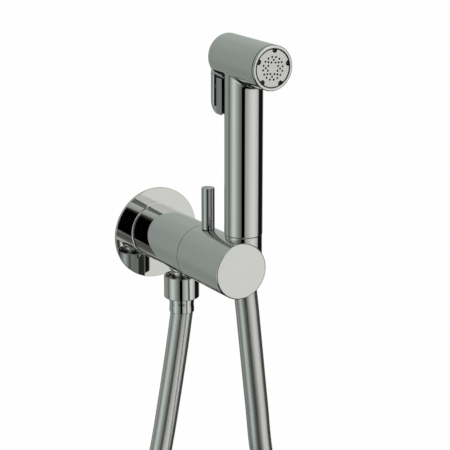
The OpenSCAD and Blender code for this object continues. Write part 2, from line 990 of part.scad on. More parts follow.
module valve_pad() {
    color("dimgray")
        at_stem()
            translate([0, 0, seat_from - passing - pad_t])
                tube(chamber_r - pad_gap, stem_d / 2 + fit, pad_t);
}

module riser_tube() {
    color("ivory")
        at_handset()
            translate([0, outlet_back, housing_top - riser_lap + fit])
                tube(riser_r, riser_bore_r, housing_gap + riser_lap + head_floor);
}

head_floor = 3;
carrier_len = 4.4;
plate_t = 2;
plate_recess = 0.3;
plate_back = head_front - plate_recess - plate_t;
carrier_back = plate_back - fit - carrier_len;

module head_shell() {
    color("silver")
        difference() {
            along_head()
                rotate_extrude()
                    polygon(concat(
                        [[0, -head_back]],
                        [for (turn = [-90:15:0]) [
                            head_r - head_edge + head_edge * cos(turn),
                            -head_back + head_edge + head_edge * sin(turn)]],
                        [for (turn = [0:15:90]) [
                            head_r - head_edge + head_edge * cos(turn),
                            head_front - head_edge + head_edge * sin(turn)]],
                        [[head_r - head_wall, head_front], [head_r - head_wall, carrier_back],
                         [head_r - head_floor, carrier_back],
                         [head_r - head_floor, -head_back + head_floor], [0, -head_back + head_floor]]));
            at_handset()
                translate([0, outlet_back, housing_top])
                    cylinder(r = riser_r + fit, h = head_r);
        }
}

plate_r = plate_d / 2;
plate_turn = -6.5;
notch_inset = 0.4;
carrier_r = head_r - head_wall - fit;

// Three rings of jets; the middle ring lies between the spokes of the inner one
module jets(radius, height) {
    for (ring = [[3.9, 8, 22.5], [5.3, 8, 0], [7.2, 16, 11.25]])
        for (k = [0:ring[1] - 1])
            rotate(plate_turn + ring[2] + 360 * k / ring[1])
                translate([ring[0], 0, 0])
                    cylinder(r = radius, h = height, $fn = 16);
}

chamber_wall = 2.85;
roof_t = 1.4;
tooth_r = 0.7;
tooth_inset = 0.2;
tooth_sink = 0.5;
carrier_groove_at = 1;
hole_play = 0.1;

module at_notches() {
    for (k = [0:4])
        rotate(plate_turn + 90 + 72 * k)
            translate([plate_r - notch_inset, 0, 0])
                children();
}

module spray_carrier() {
    color("dimgray")
        along_head() {
            difference() {
                translate([0, 0, carrier_back + fit])
                    cylinder(r = carrier_r, h = carrier_len);
                translate([0, 0, carrier_back - over])
                    cylinder(r = carrier_r - chamber_wall, h = carrier_len + over - roof_t);
                translate([0, 0, carrier_back])
                    jets(jet_d / 2 + hole_play, carrier_len + over);
                translate([0, 0, carrier_back + carrier_groove_at])
                    tube(carrier_r + over, carrier_r - groove_depth, groove_w);
            }
            at_notches()
                translate([-tooth_inset, 0, plate_back - tooth_sink])
                    cylinder(r = tooth_r, h = plate_t);
        }
}

module carrier_seal() {
    color("black")
        along_head()
            translate([0, 0, carrier_back + carrier_groove_at + groove_w / 2])
                seal_ring(carrier_r - groove_depth / 2, groove_depth / 2 - seal_slack);
}

module spray_plate() {
    color("gainsboro")
        along_head()
            difference() {
                translate([0, 0, plate_back])
                    cylinder(r = plate_r, h = plate_t);
                translate([0, 0, plate_back - over])
                    jets(jet_d / 2, plate_t + 2 * over);
                translate([0, 0, plate_back - over])
                    at_notches()
                        cylinder(r = notch_r, h = plate_t + 2 * over, $fn = 32);
            }
}

// The pin's bore stops inside both flanks of the trigger
flank = 0.5;

module pivot_pin() {
    color("lightgray")
        at_pivot()
            translate([0, 0, flank + fit - trigger_w / 2])
                cylinder(r = pivot_d / 2, h = trigger_w - 2 * flank - 2 * fit);
}

spring_wire_r = 0.35;
spring_turns = 3;
spring_pitch = 1;
spring_from = 0.8;
spring_r = pivot_d / 2 + spring_wire_r + passing;
spring_points = [
    for (i = [0:spring_turns * 12])
        [spring_r * cos(30 * i), spring_r * sin(30 * i), spring_from + spring_pitch * i / 12]];

// Torsion spring on the pin, that pushes the trigger off the tube
module trigger_spring() {
    color("silver")
        at_pivot()
            polyhedron_spring();
}

module polyhedron_spring() {
    last = len(spring_points) - 1;
    sides = 6;
    rings = [
        for (i = [0:last]) for (k = [0:sides - 1])
            let (turn = 360 * k / sides, out = spring_wire_r * cos(turn))
                spring_points[i] + [out * cos(30 * i), out * sin(30 * i), spring_wire_r * sin(turn)]];
    skin = [
        for (i = [0:last - 1]) for (k = [0:sides - 1])
            let (a = i * sides + k, b = i * sides + (k + 1) % sides)
                each [[a, b + sides, b], [a, a + sides, b + sides]]];
    first_cap = [for (k = [1:sides - 2]) [0, k, k + 1]];
    last_cap = [for (k = [1:sides - 2]) [last * sides, last * sides + k + 1, last * sides + k]];
    polyhedron(rings, concat(skin, first_cap, last_cap));
}

trigger_top = 9;
foot_round = 10;
back_round = 2;
slot_w = 9.2;
slot_room = 0.6;
slot_foot = pivot_drop + ear_r + slot_room;
slot_back = pivot_back + ear_r + slot_room;
panel_depth = 0.8;
panel_rim = 6.4;
panel_top_rim = 2.4;
head_gap = 0.9;

// Side outline of the trigger: [distance behind the tube's axis, height from the head's axis]
function arc(centre, radius, from, to, steps) = [
    for (i = [0:steps])
        let (turn = from + (to - from) * i / steps)
            centre + radius * [cos(turn), sin(turn)]];

module trigger_outline() {
    polygon(concat(
        [[0, -trigger_top]],
        arc([trigger_back - back_round, -trigger_top - back_round], back_round, 90, 0, 4),
        arc([trigger_back - foot_round, -trigger_foot + foot_round], foot_round, 0, -90, 8),
        [[0, -trigger_foot]]));
}

module trigger() {
    color("silver")
        difference() {
            at_handset()
                translate([-trigger_w / 2, 0, head_z])
                    rotate([90, 0, 90])
                        linear_extrude(trigger_w)
                            trigger_outline();
            at_handset()
                translate([0, saddle_at, head_z - trigger_foot - over])
                    cylinder(r = saddle_r, h = trigger_foot + over);
            along_head()
                translate([0, 0, -trigger_back - over])
                    cylinder(r = head_r + head_gap, h = trigger_back + over + head_front);
            at_handset()
                translate([-slot_w / 2, 0, head_z - slot_foot])
                    cube([slot_w, slot_back, slot_foot]);
            at_pivot()
                translate([0, 0, -trigger_w / 2 + flank])
                    cylinder(r = pivot_d / 2 + fit, h = trigger_w - 2 * flank, $fn = 48);
            for (side = [-1, 1])
                at_handset()
                    translate([side * trigger_w / 2 - panel_depth, 0, head_z])
                        rotate([90, 0, 90])
                            linear_extrude(2 * panel_depth)
                                side_panel();
        }
}

// The sunk panel in each side leaves a rim at the top, the back and the foot
module side_panel() {
    polygon(concat(
        [[0, -trigger_top - panel_top_rim], [trigger_back - panel_rim, -trigger_top - panel_top_rim]],
        arc([trigger_back - foot_round, -trigger_foot + foot_round], foot_round - panel_rim, 0, -90, 6),
        [[0, -trigger_foot + panel_rim]]));
}

rosette();
valve_body();
inlet_strainers();
check_valves();
port_seals();
cartridge_housing();
fixed_disc();
spindle_seal();
cartridge_nut();
neck_tube();
moving_disc();
spindle();
drive_hub();
hub_screw();
ring_bushes();
handle_ring();
lever();
front_block();
block_screw();
end_cap();
holder_liner();
outlet_nipple();
nipple_seal();
nut_washer();
hose_nut();
outlet_tail();
outlet_ferrule();
hose();
handset_ferrule();
handset_tail();
tail_seal();
handset_tube();
water_tube();
valve_housing();
stem_seal();
valve_stem();
valve_pad();
riser_tube();
head_shell();
spray_carrier();
carrier_seal();
spray_plate();
pivot_pin();
trigger_spring();
trigger();
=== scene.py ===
import math

import bmesh
import bpy
from mathutils import Matrix, Vector


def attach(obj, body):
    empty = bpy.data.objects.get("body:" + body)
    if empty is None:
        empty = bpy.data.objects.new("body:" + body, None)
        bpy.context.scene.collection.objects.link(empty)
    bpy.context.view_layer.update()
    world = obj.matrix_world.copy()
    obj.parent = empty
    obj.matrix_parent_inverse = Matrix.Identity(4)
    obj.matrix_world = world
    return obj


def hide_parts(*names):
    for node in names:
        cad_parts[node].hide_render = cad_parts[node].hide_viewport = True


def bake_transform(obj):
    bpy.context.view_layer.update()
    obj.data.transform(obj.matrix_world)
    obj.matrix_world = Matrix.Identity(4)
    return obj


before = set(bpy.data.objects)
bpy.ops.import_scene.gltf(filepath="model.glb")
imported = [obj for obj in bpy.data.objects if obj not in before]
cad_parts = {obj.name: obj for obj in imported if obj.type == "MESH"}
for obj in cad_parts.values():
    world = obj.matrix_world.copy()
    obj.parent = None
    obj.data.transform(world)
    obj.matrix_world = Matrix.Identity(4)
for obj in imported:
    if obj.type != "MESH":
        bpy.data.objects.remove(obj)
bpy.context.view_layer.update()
bpy.context.scene.view_settings.view_transform = "Standard"

# Rosette: a thin chromed disc that covers the opening in the wall behind the mixer.
# It is turned from sheet brass with a rounded front edge and a small raised lip round the
# body, and hangs a little low.
METRES = Matrix.Scale(0.001, 4)
ON_WALL = Matrix.Rotation(math.radians(90), 4, "X")
BODY_R = 18.75
ROSETTE_R, ROSETTE_THICK, ROSETTE_BORE = 32.1, 2.5, 19.1
UNDERCUT, ROSETTE_DROP = 1, 1.5
LIP_BORE, LIP_R, LIP_TOP = 18.84, 19.6, 2.68


def turned(outline, steps=192):
    """Spins an outline of (radius, height) points, in millimetres, into a closed skin."""
    bm = bmesh.new()
    points = [bm.verts.new((r, 0, z)) for r, z in outline]
    solid = outline[0][0] == 0 and outline[-1][0] == 0
    ends = points[1:] if solid else points[1:] + points[:1]
    lines = [bm.edges.new(pair) for pair in zip(points, ends)]
    bmesh.ops.spin(bm, geom=points + lines, axis=(0, 0, 1), cent=(0, 0, 0),
                   steps=steps, angle=math.tau, use_merge=True)
    bmesh.ops.remove_doubles(bm, verts=bm.verts, dist=1e-5)
    bmesh.ops.recalc_face_normals(bm, faces=bm.faces)
    return bm


def off_axis(point):
    """How far a point of a turned skin is from its axis."""
    return math.hypot(point.x, point.y)


def rounded(bm, width, segments, where=lambda point: True):
    """Rounds the sharp edges whose middle passes the test."""
    sharp = [
        edge for edge in bm.edges
        if len(edge.link_faces) == 2 and edge.calc_face_angle() > 0.6
        and where((edge.verts[0].co + edge.verts[1].co) / 2)]
    bmesh.ops.bevel(bm, geom=sharp, offset=width, offset_type="OFFSET", affect="EDGES",
                    segments=segments, profile=0.5, material=-1, clamp_overlap=True)
    return bm


def moved(bm, matrix):
    """Moves or turns a skin."""
    bmesh.ops.transform(bm, matrix=matrix, verts=bm.verts)
    return bm


def plain_mesh(bm, name):
    """Makes a mesh of a skin, and lets the skin go."""
    mesh = bpy.data.meshes.new(name)
    bm.to_mesh(mesh)
    bm.free()
    return mesh


def placed(name, data):
    """Puts a new object in the scene, at its origin."""
    made = bpy.data.objects.new(name, data)
    bpy.context.scene.collection.objects.link(made)
    return made


def joined(first, *others):
    """Adds the other skins to the first one."""
    for other in others:
        mesh = plain_mesh(other, "part")
        first.from_mesh(mesh)
        bpy.data.meshes.remove(mesh)
    return first


def cut(bm, *cutters):
    """Takes the cutters' shapes out of a closed skin."""
    blank, *tools = [placed("scratch", plain_mesh(skin, "scratch")) for skin in (bm, *cutters)]
    for tool in tools:
        taken = blank.modifiers.new("cut", "BOOLEAN")
        taken.operation, taken.solver, taken.object = "DIFFERENCE", "EXACT", tool
    seen = blank.evaluated_get(bpy.context.evaluated_depsgraph_get())
    left = bpy.data.meshes.new_from_object(seen)
    made = bmesh.new()
    made.from_mesh(left)
    for extra in [blank, *tools]:
        bpy.data.objects.remove(extra)
    bpy.data.meshes.remove(left)
    return made


def drill(radius, start, end, steps=64):
    """A plain round rod, which also cuts a round hole."""
    return turned([(0, start), (radius, start), (radius, end), (0, end)], steps)


def piece(bm, name, body, finish, stands_for=(), painted_shade_lining=None):
    """Makes a finished object from a skin in millimetres, already in its place."""
    moved(bm, METRES)
    for face in bm.faces:
        face.smooth = True
    mesh = plain_mesh(bm, name)
    mesh.set_sharp_from_angle(angle=math.radians(32))
    mesh.materials.append(finish)
    # The second finish paints shade into the faces marked for it.
    if painted_shade_lining:
        mesh.materials.append(painted_shade_lining)
    made = placed(name, mesh)
    even = made.modifiers.new("even_normals", "WEIGHTED_NORMAL")
    even.keep_sharp = True
    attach(made, body)
    if stands_for:
        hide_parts(*stands_for)
    return made


class Socket:
    """A shader socket that takes part in arithmetic."""

    def __init__(self, finish, socket):
        self.finish, self.socket = finish, socket

    def __add__(self, other):
        return self.finish.math("ADD", self, other)

    def __sub__(self, other):
        return self.finish.math("SUBTRACT", self, other)

    def __rsub__(self, other):
        return self.finish.math("SUBTRACT", other, self)

    def __mul__(self, other):
        return self.finish.math("MULTIPLY", self, other)

    def __truediv__(self, other):
        return self.finish.math("DIVIDE", self, other)

    def __rtruediv__(self, other):
        return self.finish.math("DIVIDE", other, self)

    __radd__, __rmul__ = __add__, __mul__


class Finish:
    """A material, or the world, whose nodes are written as expressions."""

    def __init__(self, name, world=False):
        self.holder = (bpy.data.worlds if world else bpy.data.materials).new(name)
        self.holder.use_nodes = True
        self.tree = self.holder.node_tree
        self.tree.nodes.clear()
        self.last = "ShaderNodeOutputWorld" if world else "ShaderNodeOutputMaterial"

    def math(self, operation, *values):
        return self.node("ShaderNodeMath", {"operation": operation}, dict(enumerate(values)))

    def node(self, kind, settings=None, sockets=None, output=0):
        made = self.tree.nodes.new(kind)
        for key, value in (settings or {}).items():
            if key == "stops":
                ramp = made.color_ramp
                while len(ramp.elements) < len(value):
                    ramp.elements.new(1.0)
                for element, (place, colour) in zip(ramp.elements, value):
                    element.position, element.color = place, (*colour, 1)
            else:
                setattr(made, key, value)
        for key, value in (sockets or {}).items():
            if isinstance(value, Socket):
                self.tree.links.new(value.socket, made.inputs[key])
            else:
                made.inputs[key].default_value = value
        return Socket(self, made.outputs[output])

    def outputs(self, made, *names):
        """The outputs of a node that has more than one."""
        return [Socket(self, made.socket.node.outputs[name]) for name in names]

    def object_place(self):
        return self.node("ShaderNodeTexCoord", output=3)

    def noise(self, size, detail, scale=(1, 1, 1)):
        """Soft noise from 0 to 1 with features of about this size in metres."""
        where = self.node("ShaderNodeMapping", {}, {"Vector": self.object_place(), "Scale": scale})
        return self.node("ShaderNodeTexNoise", {}, {
            "Vector": where, "Scale": 1 / size, "Detail": detail})

    def mixed(self, factor, first, second):
        first, second = (
            colour if isinstance(colour, Socket) else (*colour, 1) for colour in (first, second))
        return self.node("ShaderNodeMix", {"data_type": "RGBA"}, {
            0: factor, 6: first, 7: second}, output=2)

    def larger(self, first, second):
        return self.math("MAXIMUM", first, second)

    def eased(self, value, low, high):
        """0 up to low and 1 from high on, with a soft change between them."""
        return self.node("ShaderNodeMapRange", {"interpolation_type": "SMOOTHSTEP"}, {
            "Value": value, "From Min": low, "From Max": high})

    def rays(self, *kinds):
        """1 for a ray of one of these kinds, and 0 for any other."""
        first, *others = self.outputs(self.node("ShaderNodeLightPath"), *kinds)
        for other in others:
            first = self.larger(first, other)
        return first

    def bump(self, height, distance, strength):
        return self.node("ShaderNodeBump", {}, {
            "Height": height, "Distance": distance, "Strength": strength})

    def surface(self, **sockets):
        names = {key.replace("_", " ").title().replace("Ior", "IOR"): value
                 for key, value in sockets.items()}
        return self.ended(self.node("ShaderNodeBsdfPrincipled", {}, names))

    def ended(self, shader):
        end = self.tree.nodes.new(self.last)
        self.tree.links.new(shader.socket, end.inputs["Surface"])
        return self.holder


def chrome_plate(name, painted_shade_factor=1.0):
    """Polished chrome: faint film of handling marks, and the slight waviness of polished brass.
    A painted shade factor below 1 darkens the colour as painted shade.
    """
    plate = Finish(name)
    film = plate.noise(0.011, 3)
    dull, bright = ([part * painted_shade_factor for part in tone]
                    for tone in ((0.592, 0.594, 0.59), (0.618, 0.62, 0.616)))
    return plate.surface(
        base_color=plate.mixed(film, dull, bright), metallic=1.0, roughness=film * 0.02 + 0.025,
        normal=plate.bump(plate.noise(0.02, 1), 0.00002, 0.25))


chrome = chrome_plate("chrome_plate")
sheet = turned([(0, 0), (ROSETTE_R - UNDERCUT, 0), (ROSETTE_R, UNDERCUT),
                (ROSETTE_R, ROSETTE_THICK), (0, ROSETTE_THICK)])
sheet = rounded(sheet, 0.35, 4,
                lambda p: p.z > ROSETTE_THICK - 0.5 and off_axis(p) > ROSETTE_R - 1)
sheet = moved(sheet, Matrix.Translation((0, 0, -ROSETTE_DROP)) @ ON_WALL)
sheet = cut(sheet, moved(drill(ROSETTE_BORE, -1, ROSETTE_THICK + 1.5, 192), ON_WALL))
lip = turned([(LIP_BORE, ROSETTE_THICK - 1), (LIP_R, ROSETTE_THICK - 1), (LIP_R, ROSETTE_THICK),
              (LIP_BORE + 0.12, LIP_TOP), (LIP_BORE, LIP_TOP)], 256)
piece(joined(sheet, moved(lip, ON_WALL)), "rosette_disc", "mixer_body", chrome,
      ["rosette"])

# Rear body: the fixed length of the mixer, turned from brass bar and chromed. Its rear face
# has the tapped inlets with their strainers and two blind fixing holes, which are drilled
# here as cuts in the turned bar.
REAR_END, EDGE = 63.95, 0.1
INLET_X, INLET_R, INLET_DEEP = 8, 4.5, 9
WATERWAY_R, FIXING_R, FIXING_Z, HOLES_DEEP = 4, 2.1, 12, 12
bar = rounded(drill(BODY_R, 0, REAR_END, 256), EDGE, 3)
holes = []
for side in (-1, 1):
    at_inlet = Matrix.Translation((INLET_X * side, 0, 0))
    holes += [moved(drill(INLET_R, -1, INLET_DEEP), at_inlet),
              moved(drill(WATERWAY_R, 5, HOLES_DEEP), at_inlet),
              moved(drill(FIXING_R, -1, HOLES_DEEP), Matrix.Translation((0, FIXING_Z * side, 0)))]
piece(moved(cut(bar, *holes), ON_WALL), "rear_body", "mixer_body", chrome,
      ["valve_body"])

# Water ways and cartridge: strainers, non-return valves, ceramic discs in a plastic housing,
# rubber seals, and the brass neck tube that the handle ring turns on. They are inside, so
# their solids stay as they are and only get their own finishes.


def dressed(finish, *names):
    """Gives solids that stay as they are their finish."""
    for name in names:
        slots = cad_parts[name].data.materials
        slots.clear()
        slots.append(finish)


def plain_steel():
    steel = Finish("plain_steel")
    brush = steel.noise(0.0012, 3, (1, 1, 14))
    return steel.surface(
        base_color=steel.mixed(brush, (0.46, 0.46, 0.45), (0.6, 0.6, 0.59)),
        metallic=1.0, roughness=brush * 0.12 + 0.24, normal=steel.bump(brush, 0.00002, 0.4))


def brass():
    metal = Finish("machined_brass")
    rings = metal.noise(0.0009, 2, (1, 12, 1))
    return metal.surface(
        base_color=metal.mixed(rings, (0.63, 0.45, 0.19), (0.76, 0.58, 0.29)),
        metallic=1.0, roughness=rings * 0.12 + 0.22, normal=metal.bump(rings, 0.00002, 0.4))


def moulded(name, dark, light, roughness):
    """Moulded plastic, rubber or ceramic: fine grain and slight mottling."""
    plastic = Finish(name)
    speck = plastic.noise(0.00045, 3)
    cloud = plastic.noise(0.02, 2)
    return plastic.surface(
        base_color=plastic.mixed(cloud, dark, light),
        roughness=speck * 0.1 + (roughness - 0.05),
        normal=plastic.bump(speck, 0.00002, 0.35))


steel, brass_bar = plain_steel(), brass()
white_plastic = moulded("white_plastic", (0.7, 0.69, 0.64), (0.78, 0.77, 0.72), 0.4)
ceramic = moulded("lapped_ceramic", (0.82, 0.81, 0.78), (0.87, 0.86, 0.84), 0.12)
rubber = moulded("black_rubber", (0.018, 0.018, 0.018), (0.03, 0.03, 0.029), 0.6)
# Black plastic for the spray carrier and the holder sleeve, also used as painted shade in grooves,
# holes and gaps.
black_plastic = moulded("black_plastic", (0.02, 0.02, 0.021), (0.034, 0.034, 0.034), 0.42)
black_oxide = moulded("black_oxide", (0.022, 0.022, 0.023), (0.036, 0.036, 0.037), 0.35)
dressed(steel, "inlet_strainers", "hub_screw", "block_screw", "valve_stem", "trigger_spring")
dressed(black_oxide, "pivot_pin")
dressed(white_plastic, "check_valves", "cartridge_housing", "ring_bushes", "water_tube",
        "valve_housing", "riser_tube")
dressed(ceramic, "fixed_disc", "moving_disc")
dressed(brass_bar, "cartridge_nut", "neck_tube", "spindle", "drive_hub", "outlet_tail")
dressed(rubber, "port_seals", "spindle_seal", "nipple_seal", "nut_washer", "tail_seal",
        "stem_seal", "valve_pad", "carrier_seal")
dressed(black_plastic, "spray_carrier")

# Handle ring and lever: the ring is a short turned sleeve between two fine seams, and the
# lever is a plain round pin that screws into it, down to a fine relief at its foot, which is
# lined in black as painted shade. Both turn together to mix and open.
RING_START, RING_END, RING_BORE = 64.4, 84.38, 15.63
sleeve = turned([(RING_BORE, RING_START), (BODY_R, RING_START), (BODY_R, RING_END),
                 (RING_BORE, RING_END)], 256)
sleeve = rounded(sleeve, EDGE, 3, lambda p: p.z < RING_START + 0.5)
piece(moved(sleeve, ON_WALL), "ring_sleeve", "handle", chrome, ["handle_ring"])

LEVER_Y, LEVER_R, LEVER_FOOT, LEVER_TOP = -73.6, 4.4, 16.2, 47
RELIEF_R, RELIEF_TOP = 4.05, 18.95
SHANK_R, SHANK_FOOT = 3, 6


def lined(bm, inside):
    """Marks the faces whose middle passes the test for a piece's second finish, the black that
    paints shade into grooves, holes and gaps.
    """
    for face in bm.faces:
        face.material_index = int(inside(face.calc_center_median(), face.normal))
    return bm


pin = turned([(0, LEVER_FOOT), (RELIEF_R, LEVER_FOOT), (RELIEF_R, RELIEF_TOP),
              (LEVER_R, RELIEF_TOP), (LEVER_R, LEVER_TOP), (0, LEVER_TOP)], 128)
# The relief and the foot of the pin are lined in black as painted shade.
pin = lined(rounded(pin, 0.35, 4, lambda p: p.z > LEVER_TOP - 1),
            lambda p, n: p.z < RELIEF_TOP + 0.01 and off_axis(p) < LEVER_R - 0.1)
shank = drill(SHANK_R, SHANK_FOOT, LEVER_FOOT + 0.8, 48)
# The lever's chrome is the same plate painted darker, as painted shade.
lever_chrome_painted_darker = chrome_plate("lever_chrome_painted_darker", painted_shade_factor=0.84)
piece(moved(joined(pin, shank), Matrix.Translation((0, LEVER_Y, 0))), "pin_lever", "handle",
      lever_chrome_painted_darker, ["lever"], black_plastic)

# Front block: the fixed front length of the body, cast in one with the upright collar that
# holds the hand shower. The collar is bored right through, and stands out on the right.
BLOCK_START, BODY_END = 84.4, 116
CAP_R, CAP_START = 17.6, BODY_END - 1.5
HOLDER = Matrix.Translation((10.2, -101.5, 0))
COLLAR_R, COLLAR_BORE, COLLAR_FOOT, COLLAR_TOP = 12.25, 11.25, -10.5, 20.6
block = turned([(0, BLOCK_START), (BODY_R, BLOCK_START), (BODY_R, BODY_END), (CAP_R, BODY_END),
                (CAP_R, CAP_START), (0, CAP_START)], 256)
block = rounded(block, 1, 6, lambda p: p.z > BODY_END - 1 and off_axis(p) > BODY_R - 0.45)
socket = drill((COLLAR_R + COLLAR_BORE) / 2, -30, 30, 192)
block = cut(moved(block, ON_WALL), moved(socket, HOLDER))
collar = turned([(COLLAR_BORE, COLLAR_FOOT), (COLLAR_R, COLLAR_FOOT), (COLLAR_R, COLLAR_TOP),
                 (COLLAR_BORE, COLLAR_TOP)], 192)
collar = rounded(collar, 0.8, 4, lambda p: p.z < COLLAR_FOOT + 0.5 and off_axis(p) > 12)
collar = rounded(collar, 0.38, 3, lambda p: p.z > COLLAR_TOP - 0.6)
piece(joined(block, moved(collar, HOLDER)), "front_block_and_collar", "mixer_body", chrome,
      ["front_block"])

# End cap: a chromed disc pressed flush into the front block, so closely that its joint hardly
# shows when it has been polished.
piece(moved(drill(CAP_R - 0.02, CAP_START, BODY_END, 256), ON_WALL), "end_disc",
      "mixer_body", chrome, ["end_cap"])

# Holder liner: a black plastic sleeve with a slight taper that keeps the hand shower's cone
# from scratching the collar.
LINER_R, LINER_FOOT, LINER_TOP = 11.2, -10.3, 20.4
NARROW_R, WIDE_R = 9.31, 10.25
liner = turned([(NARROW_R, LINER_FOOT), (LINER_R, LINER_FOOT), (LINER_R, LINER_TOP),
                (WIDE_R, LINER_TOP)], 128)
piece(moved(rounded(liner, 0.15, 2), HOLDER), "holder_sleeve", "mixer_body", black_plastic,
      ["holder_liner"])

# Outlet: a short chromed nipple screwed into the underside of the body, and the plain round
# nut that clamps the hose's tail and washer against it. A ferrule is crimped over the hose.
OUTLET = Matrix.Translation((0, -37.6, 0))
NIPPLE_BORE, NIPPLE_FOOT, NIPPLE_TOP = 4.5, -32.35, -13.1
THREAD_R, THREAD_TOP = 10.3, -26.3
NECK_R, NECK_TOP, SHOULDER_R = 7, -19.85, 8.3
nipple = turned([
    (NIPPLE_BORE, NIPPLE_FOOT), (THREAD_R, NIPPLE_FOOT), (THREAD_R, THREAD_TOP),
    (THREAD_R - 0.6, THREAD_TOP + 0.6), (NECK_R, THREAD_TOP + 1.2), (NECK_R, NECK_TOP),
    (SHOULDER_R, NECK_TOP + 1.3), (SHOULDER_R, NIPPLE_TOP), (NIPPLE_BORE, NIPPLE_TOP)], 128)
piece(moved(nipple, OUTLET), "outlet_stub", "mixer_body", chrome,
      ["outlet_nipple"])
NUT_R, NUT_FOOT, NUT_TOP = 12.1, -38.6, -23.1
TAIL_HOLE, NUT_BORE, NUT_FLOOR = 7.05, 10.35, 2.2
nut = turned([
    (TAIL_HOLE, NUT_FOOT), (NUT_R, NUT_FOOT), (NUT_R, NUT_TOP), (NUT_R - 1.05, NUT_TOP),
    (NUT_BORE, NUT_TOP - 1.2), (NUT_BORE, NUT_FOOT + NUT_FLOOR),
    (TAIL_HOLE, NUT_FOOT + NUT_FLOOR)], 192)
nut = rounded(nut, 0.5, 4, lambda p: p.z < NUT_FOOT + 0.5 and off_axis(p) > NUT_R - 0.1)
nut = rounded(nut, 0.28, 3, lambda p: p.z > NUT_TOP - 0.4)
piece(moved(nut, OUTLET), "round_hose_nut", "mixer_body", chrome, ["hose_nut"])
FERRULE_R, FERRULE_BORE, FERRULE_LONG, FERRULE_END = 8.6, 8.05, 10.3, 1.5
WAIST = [(2.55, 0), (1.25, 0.15), (0, 0.22), (-1.25, 0.15), (-2.55, 0)]


def crimped(top, hole):
    """A ferrule that hangs down from its top, drawn in a little at its middle."""
    foot, middle = top - FERRULE_LONG, top - FERRULE_LONG / 2
    waist = [(FERRULE_R - deep, middle + above) for above, deep in WAIST]
    sleeve = turned([
        (hole, top), (FERRULE_R, top), *waist, (FERRULE_R, foot), (FERRULE_BORE, foot),
        (FERRULE_BORE, top - FERRULE_END), (hole, top - FERRULE_END)], 128)
    outer = FERRULE_R - 0.3
    sleeve = rounded(sleeve, 0.35, 3, lambda p: p.z < foot + 0.3 and off_axis(p) > outer)
    return rounded(sleeve, 0.2, 3, lambda p: p.z > top - 0.2 and off_axis(p) > outer)


piece(moved(crimped(NUT_FOOT - 0.3, TAIL_HOLE), OUTLET), "outlet_sleeve", "mixer_body", chrome,
      ["outlet_ferrule"])

# Hose: 1.2 m of smooth silver PVC hose with a reinforced wall. It hangs from the outlet in one
# open loop and comes up into the holder from below, inside the ferrule of the hand shower.
HOSE_R = 7.75
HOSE_ROUTE = [
    (0, -37.6, -40.45), (0, -37.6, -48.7),
    (-1.3, -37.6, -58), (-4.5, -37.6, -78), (-11.2, -38, -114), (-19.5, -39, -152),
    (-34, -41, -202), (-56, -44, -252), (-83, -48, -302), (-109, -52, -350),
    (-126, -57, -400), (-123, -62, -444), (-99, -67, -482), (-59, -71, -505),
    (-8, -75, -512), (43, -79, -507), (90, -83, -485), (124, -88, -446), (137, -92, -396),
    (129, -95, -348), (107, -97.5, -304), (81, -99.5, -260), (57, -101, -216),
    (38.2, -101.5, -176), (26.3, -101.5, -142), (20.8, -101.5, -98), (15.9, -101.5, -54),
    (13.1, -101.5, -29),
    (10.2, -101.5, -5.85), (10.2, -101.5, 2.15)]


def smooth_route(points, steps):
    """The smooth curve that the solid hose follows, through all of its points."""
    line = [Vector(point) * 0.001 for point in points]
    made = []
    for i in range(len(line) - 1):
        a, b = line[max(i - 1, 0)], line[i]
        c, d = line[i + 1], line[min(i + 2, len(line) - 1)]
        for step in range(steps):
            t = step / steps
            made.append(0.5 * (2 * b + (c - a) * t + (2 * a - 5 * b + 4 * c - d) * t * t
                               + (3 * b - a - 3 * c + d) * t * t * t))
    return made + [line[-1]]


def silver_hose():
    skin = Finish("silver_hose_skin")
    fine = skin.noise(0.0007, 3, (1, 1, 0.1))
    cloud = skin.noise(0.03, 2)
    return skin.surface(
        base_color=skin.mixed(cloud, (0.54, 0.543, 0.537), (0.58, 0.583, 0.577)),
        metallic=0.91, roughness=fine * 0.08 + 0.17, normal=skin.bump(fine, 0.00002, 0.35))


route = smooth_route(HOSE_ROUTE, 8)
line = bpy.data.curves.new("hose_line", "CURVE")
line.dimensions, line.bevel_depth, line.bevel_resolution = "3D", HOSE_R * 0.001, 7
line.use_fill_caps = True
spline = line.splines.new("POLY")
spline.points.add(len(route) - 1)
for point, place in zip(spline.points, route):
    point.co = (*place, 1)
guide = placed("hose_line", line)
skin_mesh = bpy.data.meshes.new_from_object(
    guide.evaluated_get(bpy.context.evaluated_depsgraph_get()))
bpy.data.objects.remove(guide)
skin_mesh.name = "shower_hose"
skin_mesh.materials.clear()
skin_mesh.materials.append(silver_hose())
for polygon in skin_mesh.polygons:
    polygon.use_smooth = True
hose = placed("shower_hose", skin_mesh)
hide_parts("hose")
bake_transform(hose)

# Hand shower tube: the straight chromed grip, with its conical tail that stands in the
# holder, the ferrule of the hose below it, and a small ear at the back for the trigger's pin.
SEAT_Z, HEAD_Z, HEAD_R = 20.9, 135.7, 14.5
GRIP_R, GRIP_BORE, GRIP_TOP = 12.5, 10.6, 131
TAIL_BORE, TAIL_FOOT, TAIL_TOP = 3.8, 4, 32.9
CONE_TIP_R, CONE_R = 9.44, 9.95
PIVOT_Y, PIVOT_Z = 16.6, HEAD_Z - 18.5
EAR_R, EAR_LEFT, EAR_WIDE = 2.6, -4.1, 3.7
piece(moved(crimped(TAIL_FOOT - 0.05, TAIL_BORE + 0.45), HOLDER), "hand_shower_sleeve",
      "hand_shower", chrome, ["handset_ferrule"])
tail = turned([(TAIL_BORE, TAIL_FOOT), (CONE_TIP_R, TAIL_FOOT), (CONE_R, SEAT_Z),
               (GRIP_BORE - 0.05, SEAT_Z), (GRIP_BORE - 0.05, TAIL_TOP), (TAIL_BORE, TAIL_TOP)],
              128)
